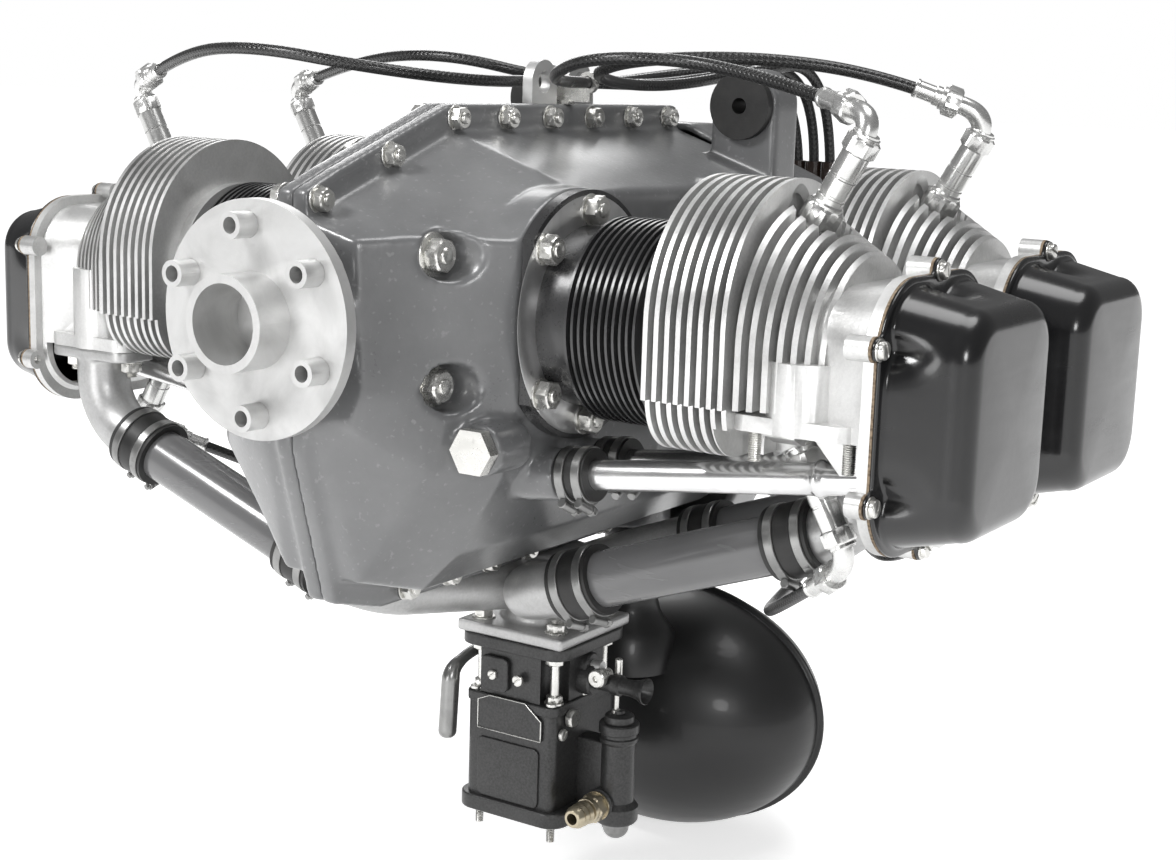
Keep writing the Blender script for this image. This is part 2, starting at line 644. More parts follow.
def nutProfile(height, flats, hole):
    # a hexagon nut's bar: chamfered to a washer face at both ends
    corner, face = flats / math.sqrt(3), flats * 0.475
    rise = (corner - face) * 0.577
    return [(0, hole), (0, face), (rise, corner), (height - rise, corner), (height, face), (height, hole),
            (0, hole)]


def hexNut(height, flats, at, direction, around=48, phase=0.0, lift=0.0, hole=0.0):
    # a nut or a bolt's head that starts this far above the point
    profile = [(rise + lift, radius) for rise, radius in nutProfile(height, flats, hole)]
    return hexTurned(profile, flats, at, direction, around, phase)


def rod(low, high, radius, at, direction, around=12):
    # a plain round bar between two heights over the point
    return turned([(low, 0), (low, radius), (high, radius), (high, 0)], at, direction, around)


def looseParts(nodeName):
    # the separate solids of a node, each as its own array of points
    work = bmesh.new()
    work.from_mesh(nodes[nodeName].data)
    bmesh.ops.remove_doubles(work, verts=work.verts, dist=1e-6)
    seen, found = set(), []
    for first in work.verts:
        if first.index in seen:
            continue
        seen.add(first.index)
        stack, members = [first], []
        while stack:
            here = stack.pop()
            members.append(tuple(here.co))
            for edge in here.link_edges:
                other = edge.other_vert(here)
                if other.index not in seen:
                    seen.add(other.index)
                    stack.append(other)
        found.append(np.array(members))
    work.free()
    return found


# Rocker covers: deep-drawn pans with a lip, drawn-in pockets beside the screws and a crowned face

cover = {
    "start": 0.3495, "reach": 0.400, "half": 0.073, "top": 0.045, "bottom": -0.109, "corner": 0.042,
    "lip": 0.0022, "lipWidth": 0.006, "draft": 0.0075, "shoulder": 0.0125, "crown": 0.0014, "wall": 0.0016,
    "pocket": 0.0085, "pocketWide": 0.0115, "pocketLong": 0.031, "ear": 0.007, "earOut": 0.0015,
    "around": 240,
}
coverScrews = [  # (along the crankshaft, up) from the cylinder's axis
    (side * (cover["half"] + cover["earOut"]), (cover["top"] + cover["bottom"]) / 2 + rise)
    for side in (-1, 1) for rise in (-0.042, 0.042)
] + [(0, cover["top"] + cover["earOut"]), (0, cover["bottom"] - cover["earOut"])]


def roundedOutline(count, halfWide, low, high, corner):
    # points evenly spaced along a rounded rectangle, with the outward normal at each
    straightWide, straightHigh = 2 * (halfWide - corner), high - low - 2 * corner
    quarter = np.pi / 2 * corner
    lengths = np.array([straightHigh, quarter, straightWide, quarter] * 2)
    ends = np.cumsum(lengths)
    along = np.arange(count) / count * ends[-1]
    run = np.searchsorted(ends, along, side="right")
    into = along - np.concatenate([[0], ends])[run]
    centres = np.array([(1, 1), (1, 1), (-1, 1), (-1, 1), (-1, -1), (-1, -1), (1, -1), (1, -1)])[run]
    middle = np.array([0, (low + high) / 2])
    corners = middle + centres * np.array([halfWide - corner, (high - low) / 2 - corner])
    facing = np.array([0, 0, 1, 1, 2, 2, 3, 3])[run] * np.pi / 2
    onArc = run % 2 == 1
    angle = facing + np.where(onArc, into / corner, 0.0)
    normal = np.stack([np.cos(angle), np.sin(angle)], -1)
    forward = np.stack([-np.sin(facing), np.cos(facing)], -1)
    remaining = np.where(onArc, 0.0, lengths[run] - into)
    points = corners + normal * corner - forward * remaining[:, None]
    return points, normal


def coverSurface(look):
    # each point is the outline moved in by the pan's profile and by a pocket that fades from the lip upwards
    outline, normal = roundedOutline(*(look[key] for key in ("around", "half", "bottom", "top", "corner")))
    depth = look["reach"] - look["crown"] - look["start"]
    wall = np.linspace(0, 1, 12)
    arc = np.linspace(0, np.pi / 2, 9)[1:]
    round3 = 0.003
    lipTop = look["lip"]
    foot = np.linspace(0, np.pi / 2, 5)
    outHeights = [0, lipTop * 0.35, lipTop * 0.8, lipTop]
    outGrow = [0.0004, 0, 0.0002, 0.0009]
    heights = np.concatenate([outHeights, lipTop + round3 - round3 * np.cos(foot),
                              lipTop + round3 + (depth - look["shoulder"] - lipTop - round3) * wall[1:],
                              depth - look["shoulder"] + look["shoulder"] * np.sin(arc)])
    lipIn = look["lipWidth"]
    grow = np.concatenate([outGrow, lipIn - round3 + round3 * np.sin(foot),
                           lipIn + look["draft"] * wall[1:],
                           lipIn + look["draft"] + look["shoulder"] * (1 - np.cos(arc))])
    screws = np.array(coverScrews)
    away = np.linalg.norm(outline[:, None, :] - screws[None], axis=2).min(axis=1)
    pocket = look["pocket"] * np.exp(-(away / look["pocketWide"]) ** 2)
    fade = 1 - np.clip((heights - lipTop) / look["pocketLong"], 0, 1)
    fade = np.where(heights > lipTop, fade * fade * (3 - 2 * fade), 0.0)
    onLip = np.array([1.0] * 4 + [0.0] * (len(heights) - 4))
    earArc = np.sqrt(np.clip(look["ear"] ** 2 - away ** 2, 0, None))
    ear = np.where(away < look["ear"], look["earOut"] + earArc, 0.0)
    shift = grow[:, None] + fade[:, None] * pocket[None] - onLip[:, None] * ear[None]
    flat = outline[None] - normal[None] * shift[:, :, None]
    out = np.broadcast_to((look["start"] + heights)[:, None, None], flat.shape[:2] + (1,))
    outer = np.concatenate([out, flat], -1)
    rim = outer[-1]
    centre = np.array([look["reach"], *rim[:, 1:].mean(axis=0)])
    share = np.linspace(0, 1, 9)[1:, None, None]
    face = rim[None] * (1 - share) + centre * share
    face[:, :, 0] = look["reach"] - look["crown"] * (1 - share[:, :, 0]) ** 2
    skin = np.concatenate([outer, face])
    inside = skin[4:][::-1].copy()
    inside[:, :, 0] -= look["wall"]
    towards = inside[:, :, 1:] - centre[1:]
    inside[:, :, 1:] = centre[1:] + towards * (1 - look["wall"] / 0.06)
    inside[-1, :, 0] = look["start"]
    return np.concatenate([skin, inside])


def bankPoints(points, along, side):
    # from a cylinder's own axes to the engine's: the right bank is the left one turned half round
    moved = points * np.array((side, side, 1.0))
    return moved + np.array((0, along, 0))


coverPoints = coverSurface(cover)
for station, (along, side) in cylinders.items():
    item = gridMesh("pan_" + station, [(bankPoints(coverPoints, along, side), True, True)], 50)
    seat(item, "engine", "cover_paint", "rocker_cover_" + station)
print("rocker covers drawn")


# Oil sump: two drawn shells with a rolled seam, and the neck with its weld

sump = {
    "centre": (0.0, 0.503, -0.364), "half": (0.131, 0.096, 0.0985), "seam": 0.515, "seamOut": 0.0045,
    "seamWide": 0.0052, "stack": 96, "around": 128, "neckRadius": 0.022, "neckAt": 0.431, "neckTop": -0.194,
}


def sumpSurface(look):
    # an oval shell: rings stepped along y, each an ellipse, with a rounded bead pushed out at the seam
    centre, half = np.array(look["centre"]), np.array(look["half"])
    tilt = np.linspace(-np.pi / 2, np.pi / 2, look["stack"])
    seamTilt = math.asin((look["seam"] - centre[1]) / half[1])
    tilt = np.sort(np.concatenate([tilt, seamTilt + np.linspace(-0.04, 0.04, 15)]))
    angle = np.arange(look["around"]) / look["around"] * 2 * np.pi
    along = centre[1] + half[1] * np.sin(tilt)
    bead = look["seamOut"] * np.exp(-((along - look["seam"]) / (look["seamWide"] / 2)) ** 4)
    wide = half[0] * np.cos(tilt) + bead
    high = half[2] * np.cos(tilt) + bead
    sides, heights = centre[0] + wide[:, None] * np.cos(angle), centre[2] + high[:, None] * np.sin(angle)
    return np.stack([sides, np.broadcast_to(along[:, None], sides.shape), heights], -1)


def neckSurface(look):
    # a pipe with a collar at the case and a weld that flares where it meets the shell
    rise = np.array([-0.120, -0.092, -0.086, -0.080, -0.074, -0.066, -0.012, -0.011, -0.001, 0.0])
    flare = np.array([0.016, 0.014, 0.009, 0.005, 0.002, 0.0, 0.0, 0.004, 0.004, 0.0034])
    at = (0.0, look["neckAt"], look["neckTop"])
    return turned(list(zip(rise, look["neckRadius"] + flare)), at, (0, 0, 1), 64)


sumpItem = gridMesh("sumpShell", [(sumpSurface(sump), False, True), neckSurface(sump)], 40)
seat(sumpItem, "engine", "sump_paint", "oil_sump")
print("sump drawn")


# Fasteners: chamfered nuts, washers and threaded ends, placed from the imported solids

fastener = {
    # kind: across flats, nut height, stud radius, thread pitch, washer radius, washer thickness
    "seam": (0.013, 0.0068, 0.004, 0.00125, 0.0085, 0.0012),
    "through": (0.019, 0.0095, 0.0055, 0.0016, 0.0135, 0.002),
    "base": (0.016, 0.009, 0.005, 0.0015, 0.0098, 0.0015),
    "port": (0.013, 0.007, 0.004, 0.00125, 0.0085, 0.0012),
    "flange": (0.013, 0.006, 0.004, 0.00125, 0.0085, 0.0012),
}
# distances from the crankshaft's axis, outwards or down, to the faces that the nuts sit on,
# and how far a washer's corner is broken
seamFace, throughFace, baseFace, portFace = 0.012, 0.070, 0.121, 0.070
washerEdge = 0.0003


def washerProfile(inner, outer, thick):
    # a flat ring with its outer corners broken
    return [(0, inner), (0, outer - washerEdge), (washerEdge, outer), (thick - washerEdge, outer),
            (thick, outer - washerEdge), (thick, inner), (0, inner)]


def nutOn(kind, face, tip, at, direction, turn=0.0):
    # washer, nut and the threaded end that stands out of it; face and tip are distances along the direction
    flats, height, radius, pitch, washerRadius, washerThick = fastener[kind]
    at, direction = np.array(at, float), np.array(direction, float)
    seatAt = at + direction * face
    nutAt = seatAt + direction * washerThick
    return [turned(washerProfile(radius, washerRadius, washerThick), seatAt, direction, 40),
            hexNut(height, flats, nutAt, direction, 48, turn, hole=radius * 0.96),
            threaded(face, tip, radius * 0.97, pitch, at, direction)]


def caseFasteners():
    # each through solid becomes a shank with a washer, a nut and a threaded end at both sides
    grids = []
    for number, points in enumerate(looseParts("crankcase_fasteners")):
        low, high = points.min(axis=0), points.max(axis=0)
        middle = (low + high) / 2
        kind, face = ("through", throughFace) if high[0] > 0.05 else ("seam", seamFace)
        for side in (-1, 1):
            at = (0, middle[1], middle[2])
            grids += nutOn(kind, face, high[0], at, (side, 0, 0), 0.35 * number + side)
        grids.append(rod(-face, face, fastener[kind][2] * 0.96, (0, middle[1], middle[2]), (1, 0, 0)))
    return gridMesh("caseNuts", grids, 30)


def baseNuts():
    # each stud of the barrels' flanges, with its washer and nut on the outer face
    grids = []
    for number, points in enumerate(looseParts("cylinder_base_nuts")):
        low, high = points.min(axis=0), points.max(axis=0)
        side = 1 if low[0] > 0 else -1
        near, far = (low[0], high[0]) if side > 0 else (-high[0], -low[0])
        at = (0, (low[1] + high[1]) / 2, (low[2] + high[2]) / 2)
        grids += nutOn("base", baseFace, far, at, (side, 0, 0), 0.4 * number)
        grids.append(rod(near, 0.1212, 0.0048, at, (side, 0, 0)))
    return gridMesh("baseNuts", grids, 30)


def portNuts():
    # long studs carry a nut under the intake flange, short ones at the exhaust stand bare
    grids = []
    for number, points in enumerate(looseParts("port_studs")):
        low, high = points.min(axis=0), points.max(axis=0)
        middle = (low + high) / 2
        at = (middle[0], middle[1], 0)
        hasNut = high[0] - low[0] > 0.010
        if hasNut:
            grids += nutOn("port", portFace, -low[2], at, (0, 0, -1), 0.7 * number)
            shankEnd = 0.0703
        else:
            grids.append(threaded(-high[2] + 0.009, -low[2], 0.0039, 0.00125, at, (0, 0, -1)))
            shankEnd = -high[2] + 0.0092
        grids.append(rod(-high[2], shankEnd, 0.0038, at, (0, 0, -1)))
    return gridMesh("portNuts", grids, 30)


def flangeFaces():
    # the bright turned face of each barrel's base flange, round the root of its fins
    inner, outer, low, high = 0.054, 0.0735, 0.1209, 0.1214
    face = [(low, inner), (low, outer), (0.1212, outer + 0.0003), (high, outer), (high, inner), (low, inner)]
    rings = [turned(face, (0, along, 0), (side, 0, 0), 96) for along, side in cylinders.values()]
    return gridMesh("flangeFaces", rings)


seat(flangeFaces(), "engine", "plated_fasteners", finish="piston_alloy")
seat(caseFasteners(), "engine", "plated_fasteners", "crankcase_fasteners")
seat(baseNuts(), "engine", "plated_fasteners", "cylinder_base_nuts")
seat(portNuts(), "engine", "plated_fasteners", "port_studs")
print("nuts and studs fitted")


# Cover screws: raised heads with a slot, and a plain washer under each

screw = {
    "seat": 0.3517, "radius": 0.005, "height": 0.0038, "slot": 0.0012, "slotDeep": 0.0016, "shank": 0.0029,
}


def slottedHead(at, direction, radius, height, slot, deep, turn):
    # a cheese head: its top falls by the slot's depth where a point lies within half the slot of one diameter
    side, up, along = axesAlong(direction)
    share = np.array([0.0, 0.0, 0.35, 0.72, 0.92, 0.985, 1.0, 1.0])
    rise = np.array([0.0, 1.0, 0.99, 0.95, 0.86, 0.76, 0.64, 0.0])
    rings = np.concatenate([np.linspace(0.02, 0.9, 15), [0.95, 0.985, 1.0, 1.0]])
    lift = np.concatenate([np.interp(rings[:-1], share[1:-1], rise[1:-1]), [0.0]]) * height
    angle = np.arange(48) / 48 * 2 * np.pi
    x, y = rings[:, None] * radius * np.cos(angle), rings[:, None] * radius * np.sin(angle)
    across = np.abs(x * math.sin(turn) - y * math.cos(turn))
    inSlot = np.clip((slot / 2 - across) / 0.0001 + 0.5, 0, 1)
    top = lift[:, None] - inSlot * deep * (lift[:, None] > deep)
    points = np.array(at) + x[..., None] * side + y[..., None] * up + top[..., None] * along
    return points, False, True


def coverScrewMesh():
    # a washer, a slotted head and a shank at each of the cover's screw places, on all four covers
    grids = []
    for along, side in cylinders.values():
        for number, (across, up) in enumerate(coverScrews):
            at = bankPoints(np.array([[screw["seat"], across, up]]), along, side)[0]
            direction = np.array((side, 0, 0))
            washer = [(0, 0.002), (0, 0.0062), (0.0007, 0.0062), (0.0008, 0.006), (0.0008, 0.002)]
            grids.append(turned(washer, at, direction, 32))
            grids.append(slottedHead(at + direction * 0.0007, direction, screw["radius"], screw["height"],
                                     screw["slot"], screw["slotDeep"], 0.9 * number + along * 7))
            grids.append(rod(-0.009, 0.001, screw["shank"], at, direction))
    return gridMesh("coverScrewHeads", grids, 35)


seat(coverScrewMesh(), "engine", "plated_fasteners", "cover_screws")
print("cover screws fitted")


# Pipes along a path: rings square to the path, carried from one to the next with the least turning

def smoothLine(points, count):
    # a NURBS line with these points as its control points, read back evenly spaced
    curve = bpy.data.curves.new("route", "CURVE")
    curve.dimensions = "3D"
    spline = curve.splines.new("NURBS")
    spline.points.add(len(points) - 1)
    for target, point in zip(spline.points, points):
        target.co = (*point, 1)
    spline.order_u = 3
    spline.use_endpoint_u = True
    spline.resolution_u = 24
    item = bpy.data.objects.new("route", curve)
    bpy.context.scene.collection.objects.link(item)
    line = bpy.data.meshes.new_from_object(item.evaluated_get(bpy.context.evaluated_depsgraph_get()))
    dense = np.array([vertex.co for vertex in line.vertices])
    bpy.data.objects.remove(item)
    bpy.data.curves.remove(curve)
    bpy.data.meshes.remove(line)
    return evenly(dense, count)


def evenly(points, count):
    # the same line with its points the same distance apart along it
    points = np.array(points, float)
    length = np.concatenate([[0], np.cumsum(np.linalg.norm(np.diff(points, axis=0), axis=1))])
    wanted = np.linspace(0, length[-1], count)
    return np.stack([np.interp(wanted, length, points[:, axis]) for axis in range(3)], -1)


def arcLine(points, share=0.45, steps=10):
    # straight runs joined by tangent arcs, an arc taking this share of the shorter run at its corner
    points = np.array(points, float)
    line = [points[0]]
    for before, corner, after in zip(points[:-2], points[1:-1], points[2:]):
        back, ahead = before - corner, after - corner
        reach = share * min(np.linalg.norm(back), np.linalg.norm(ahead))
        start = corner + back / np.linalg.norm(back) * reach
        end = corner + ahead / np.linalg.norm(ahead) * reach
        turn = np.linspace(0, 1, steps)[:, None]
        line.extend(start * (1 - turn) ** 2 + corner * 2 * turn * (1 - turn) + end * turn ** 2)
    line.append(points[-1])
    return np.array(line)


def framesAlong(line):
    # at each point, the last side with what lies along the new tangent taken out, and its cross product
    tangent = np.gradient(line, axis=0)
    tangent /= np.linalg.norm(tangent, axis=1)[:, None]
    side = axesAlong(tangent[0])[0]
    sides = []
    for direction in tangent:
        side = side - direction * side.dot(direction)
        side /= np.linalg.norm(side)
        sides.append(side)
    sides = np.array(sides)
    return sides, np.cross(tangent, sides)


def pipe(line, radius, around=20):
    # a ring of the given radius round each point of the line; the end rings close to a point
    side, up = framesAlong(line)
    angle = np.arange(around) / around * 2 * np.pi
    ring = np.cos(angle)[None, :, None] * side[:, None] + np.sin(angle)[None, :, None] * up[:, None]
    radius = np.broadcast_to(np.asarray(radius, float), (len(line),))
    points = line[:, None] + ring * radius[:, None, None]
    first, last = (np.repeat(end, around, 1) for end in (line[:1, None], line[-1:, None]))
    return np.concatenate([first, points, last]), False, True


# Ignition leads: lacquered braid from the magneto caps to the plug elbows

lead = {
    "diameter": 0.008, "elbowRise": 0.023, "elbowReach": 0.028, "perMetre": 260, "around": 20,
    "towerShifts": (-0.021, -0.007, 0.007, 0.021), "towerAt": 0.564, "towerUp": 0.052,
    "magnetoOut": 0.06797, "magnetoUp": 0.0317,
}
# cylinder, side of its magneto, tower, then the points that it passes from tower to plug, in metres
leadRoutes = [
    ("left_rear", 1, 3, [(.084, .562, .163), (.052, .482, .150), (.038, .405, .1395), (.038, .330, .1395),
                         (.052, .268, .147), (.105, .245, .157), (.180, .268, .160), (.245, .305, .152)]),
    ("left_front", 1, 2, [(.072, .562, .160), (.028, .480, .147), (.023, .400, .1395), (.024, .330, .140),
                          (.030, .245, .141), (.095, .200, .158), (.180, .235, .155)]),
    ("right_front", 1, 1, [(.056, .561, .158), (-.006, .480, .148), (-.012, .395, .1395),
                           (-.0125, .310, .1405), (-.011, .228, .139), (-.050, .160, .146),
                           (-.130, .135, .158), (-.215, .160, .152)]),
    ("right_rear", 1, 0, [(.040, .560, .160), (-.020, .480, .147), (-.025, .405, .1395), (-.032, .345, .142),
                          (-.095, .300, .158), (-.190, .318, .152)]),
    ("right_rear", -1, 0, [(-.092, .562, -.100), (-.150, .500, -.140), (-.225, .450, -.145)]),
    ("right_front", -1, 1, [(-.078, .563, -.112), (-.125, .505, -.175), (-.150, .420, -.195),
                            (-.165, .335, -.202), (-.215, .265, -.165)]),
    ("left_rear", -1, 2, [(-.058, .566, -.100), (.010, .568, -.152), (.090, .545, -.150), (.150, .490, -.142),
                          (.200, .418, -.180), (.255, .355, -.174)]),
    ("left_front", -1, 3, [(-.044, .568, -.110), (.020, .570, -.185), (.100, .548, -.192),
                           (.150, .470, -.192), (.168, .385, -.206), (.190, .300, -.204),
                           (.228, .225, -.184)]),
]


def plugLine(station, level):
    # the plug's seat on the head and its axis, in the engine's frame
    along, side = cylinders[station]
    seatAt = np.array((engine["plugStation"] * side, along, engine["plugSeat"] * level))
    axis = np.array((math.sin(engine["plugTilt"]) * side, 0, math.cos(engine["plugTilt"]) * level))
    return seatAt, axis


def leadEnds(route):
    # the tower on the magneto's cap, the plug's top, the elbow's bend and the mouth that faces the lead
    station, side, tower, between = route
    seatAt, axis = plugLine(station, side)
    top = seatAt + axis * engine["plugLength"]
    bend = top + axis * lead["elbowRise"]
    towards = np.array(between[-1]) - bend
    mouth = bend + towards / np.linalg.norm(towards) * lead["elbowReach"]
    start = np.array((lead["magnetoOut"] * side + lead["towerShifts"][tower], lead["towerAt"],
                      lead["magnetoUp"] + lead["towerUp"] * side))
    return start, top, bend, mouth


def braidedLeads():
    # a round tube of the lead's diameter along each smooth route from tower to mouth
    grids, ways = [], []
    for route in leadRoutes:
        start, _, _, mouth = leadEnds(route)
        points = [start, *route[3], mouth]
        length = sum(np.linalg.norm(np.subtract(a, b)) for a, b in zip(points[:-1], points[1:]))
        line = smoothLine(points, int(length * lead["perMetre"]))
        grids.append(pipe(line, lead["diameter"] / 2, lead["around"]))
        ways.append(line)
    item = gridMesh("braidedLeads", grids, 60)
    mapAlong(item, ways, lead["diameter"] / 2)
    return item


def mapAlong(item, ways, radius):
    # u goes once round a lead and v is the way along it: both from the nearest point of the nearest line
    mesh = item.data
    points = np.zeros(len(mesh.vertices) * 3)
    mesh.vertices.foreach_get("co", points)
    points = points.reshape(-1, 3)
    bestGap = np.full(len(points), 1e9)
    u, v = np.zeros(len(points)), np.zeros(len(points))
    for line in ways:
        side, up = framesAlong(line)
        along = np.concatenate([[0], np.cumsum(np.linalg.norm(np.diff(line, axis=0), axis=1))])
        gap = np.linalg.norm(points[:, None] - line[None], axis=2)
        nearest = gap.argmin(axis=1)
        closest = gap[np.arange(len(points)), nearest]
        offset = points - line[nearest]
        angle = np.arctan2((offset * up[nearest]).sum(1), (offset * side[nearest]).sum(1)) / (2 * np.pi)
        better = closest < bestGap
        bestGap = np.where(better, closest, bestGap)
        u, v = np.where(better, angle, u), np.where(better, along[nearest], v)
    corners = np.zeros(len(mesh.loops), int)
    mesh.loops.foreach_get("vertex_index", corners)
    starts, totals = np.zeros(len(mesh.polygons), int), np.zeros(len(mesh.polygons), int)
    mesh.polygons.foreach_get("loop_start", starts)
    mesh.polygons.foreach_get("loop_total", totals)
    cornerU, face = u[corners], np.repeat(np.arange(len(totals)), totals)
    first = cornerU[starts][face]
    cornerU = cornerU + np.round(first - cornerU)    # a face that crosses the seam keeps its corners together
    layer = mesh.uv_layers.new(name="along")
    layer.data.foreach_set("uv", np.stack([cornerU, v[corners]], -1).ravel())


seat(braidedLeads(), "engine", "lead_braid", "ignition_leads")
print("leads braided")


# Plugs and elbows: shells with a hexagon and rings, bent cast elbows with their coupling nuts and ferrules

plug = {"seat": 0.0105, "hex": 0.022, "hexFrom": 0.004, "hexTall": 0.014}


def plugMesh():
    # heights are from the seat on the head, out along the plug
    shell = [(-0.012, 0), (-0.012, 0.0088), (0, 0.0088), (0, 0.0115), (0.0012, 0.0115),
             (0.0016, plug["seat"]), (0.0042, plug["seat"]), (0.0042, 0)]
    barrel = [(0.017, 0), (0.017, 0.0098), (0.0195, 0.0098), (0.0205, 0.0086), (0.0235, 0.0086),
              (0.024, 0.0079), (0.0252, 0.0079), (0.0257, 0.0086), (0.036, 0.0086), (0.0365, 0.0081),
              (0.0375, 0.0081), (0.038, 0.0086), (0.052, 0.0086), (0.052, 0.004), (0.052, 0)]
    grids = []
    for station in cylinders:
        for level in (1, -1):
            at, axis = plugLine(station, level)
            grids += [turned(shell, at, axis, 40), turned(barrel, at, axis, 40),
                      hexNut(plug["hexTall"], plug["hex"], at, axis, 60, lift=plug["hexFrom"])]
    return gridMesh("plugShells", grids, 32)


elbow = {"radius": 0.0057, "nut": 0.0188, "nutTall": 0.010, "endNut": 0.0175}


def elbowMesh():
    # a bent pipe that swells in its bend, with a nut and a collar at the plug
    # and a nut and a ferrule at the lead
    collar = [(0.0098, 0), (0.0098, 0.0083), (0.0118, 0.0086), (0.0122, 0.0077), (0.0132, 0.0074),
              (0.0132, 0)]
    ferrule = [(0.003, 0), (0.003, 0.0076), (0.0062, 0.0076), (0.0068, 0.0064), (0.0105, 0.0064),
               (0.011, 0.0056), (0.0215, 0.0056), (0.0222, 0.0062), (0.0238, 0.0062), (0.0245, 0.005),
               (0.0245, 0)]
    grids = []
    for route in leadRoutes:
        _, top, bend, mouth = leadEnds(route)
        axis = (bend - top) / np.linalg.norm(bend - top)
        out = (mouth - bend) / np.linalg.norm(mouth - bend)
        line = evenly(arcLine([top + axis * 0.001, bend, mouth], 0.92, 20), 40)
        share = np.linspace(0, 1, len(line))
        swell = elbow["radius"] * (1 + 0.14 * np.exp(-((share - 0.45) / 0.3) ** 2))
        grids.append(pipe(line, swell, 24))
        grids += [hexNut(elbow["nutTall"], elbow["nut"], top, axis, 48, 0.3),
                  turned(collar, top, axis, 36),
                  hexNut(elbow["nutTall"], elbow["endNut"], mouth, out, 48, 0.1, lift=-0.006),
                  turned(ferrule, mouth, out, 36)]
    return gridMesh("castElbows", grids, 32)


seat(plugMesh(), "engine", "plug_ceramic", "spark_plugs")
seat(elbowMesh(), "engine", "elbow_alloy", "ignition_elbows")
print("plugs and elbows made")


# Hose clamps: slotted bands with a worm housing and its screw, on the pushrod tubes and the intake hoses

rods = {
    "spread": 0.021, "angle": math.radians(7.2), "camDrop": 0.1125, "bossFace": 0.124, "hoseLong": 0.022,
    "hoseRadius": 0.0163, "tubeRadius": 0.0095, "tubeFrom": 0.130, "tubeTo": 0.330,
    "clampsAt": (0.005, 0.017), "clampRadius": 0.0164, "clampWidth": 0.006,
}
intake = {
    "slope": math.radians(19.5), "level": -0.187, "stubEnd": 0.092, "tubeFrom": 0.098, "tubeTo": 0.248,
    "elbowFrom": 0.254, "port": 0.049, "radius": 0.019, "hoseRadius": 0.023, "hoseLong": 0.030,
    "clampShare": 0.3, "clampRadius": 0.0231, "clampWidth": 0.0063,
}
bandThick = 0.0014


def rodPoint(across, offset):
    # a point on a pushrod tube's axis, this far out from the crankshaft
    return np.array((across, offset, across * math.tan(rods["angle"]) - rods["camDrop"]))


def pipePoint(across):
    # a point on an intake pipe's axis, this far out from the crankshaft
    rise = (across - intake["stubEnd"]) * math.tan(intake["slope"])
    return np.array((across, intake["port"], intake["level"] + rise))


rodAxis, pipeAxis = rodPoint(1, 0) - rodPoint(0, 0), pipePoint(1) - pipePoint(0)


def onEachCylinder(grids):
    # the grids of one left cylinder, set at all four
    return [(bankPoints(points, along, side), closeRows, closeColumns)
            for along, side in cylinders.values() for points, closeRows, closeColumns in grids]


def wormClamp(at, axis, radius, width, thick, facing):
    # a flat band, its raised overlap, the pressed housing and a slotted hexagon screw lying across the axis
    at, axis = np.array(at, float), np.array(axis, float) / np.linalg.norm(axis)
    out = np.array(facing, float) - axis * np.dot(facing, axis)
    out /= np.linalg.norm(out)
    way = np.cross(axis, out)
    half = width / 2
    band = [(-half, radius), (-half, radius + thick * 0.7), (-half + 0.0004, radius + thick),
            (half - 0.0004, radius + thick), (half, radius + thick * 0.7), (half, radius), (-half, radius)]
    grids = [turned(band, at, axis, 64)]
    screwAt = at + out * (radius + thick + 0.0026)
    tall = [(-0.007, 0), (-0.007, 0.0026), (-0.0064, 0.0031), (0.0064, 0.0031), (0.007, 0.0026), (0.007, 0)]
    grids.append(turned(tall, screwAt, way, 24))
    grids.append(hexNut(0.0035, 0.0065, screwAt, way, 36, lift=0.007))
    grids.append(threaded(-0.013, -0.007, 0.0024, 0.0012, screwAt, -way, 12))
    saddle = np.linspace(-1, 1, 9)
    lift = radius + thick + 0.0011 * (1 - np.abs(saddle) ** 4)
    angle = saddle * 0.011 / radius
    middle = np.array([at + (out * math.cos(a) + way * math.sin(a)) * r for a, r in zip(angle, lift)])
    plate = np.stack([middle - axis * half * 0.92, middle + axis * half * 0.92], 1)
    under = np.stack([at + (plate[:, k] - at) * 0.93 for k in (0, 1)], 1)
    loop = np.concatenate([plate[:, :1], plate[:, 1:], under[:, 1:], under[:, :1]], 1)
    grids.append((loop, False, True))
    return grids


def rodClamps():
    # two clamps on each rod hose, with the screws turned down and away from each other
    grids = []
    for offset in (-rods["spread"], rods["spread"]):
        for out in rods["clampsAt"]:
            at = rodPoint(rods["bossFace"] + out, offset)
            facing = (0, math.copysign(0.5, offset), -1.0)
            grids += wormClamp(at, rodAxis, rods["clampRadius"], rods["clampWidth"], bandThick, facing)
    return gridMesh("rodClamps", onEachCylinder(grids), 35)


def rodHoses():
    # a sleeve that bulges between its two clamps and is nipped in under them
    out = np.linspace(0, 1, 33) * rods["hoseLong"]
    nip = sum(np.exp(-((out - place) / 0.003) ** 4) for place in rods["clampsAt"])
    radius = rods["hoseRadius"] + 0.0002 - 0.0005 * nip
    inner = rods["tubeRadius"] + 0.0002
    profile = [(out[0], inner)] + list(zip(out, radius)) + [(out[-1], inner), (out[0], inner)]
    pair = [turned(profile, rodPoint(rods["bossFace"], offset), rodAxis, 48)
            for offset in (-rods["spread"], rods["spread"])]
    return gridMesh("rodHoses", onEachCylinder(pair), 35)


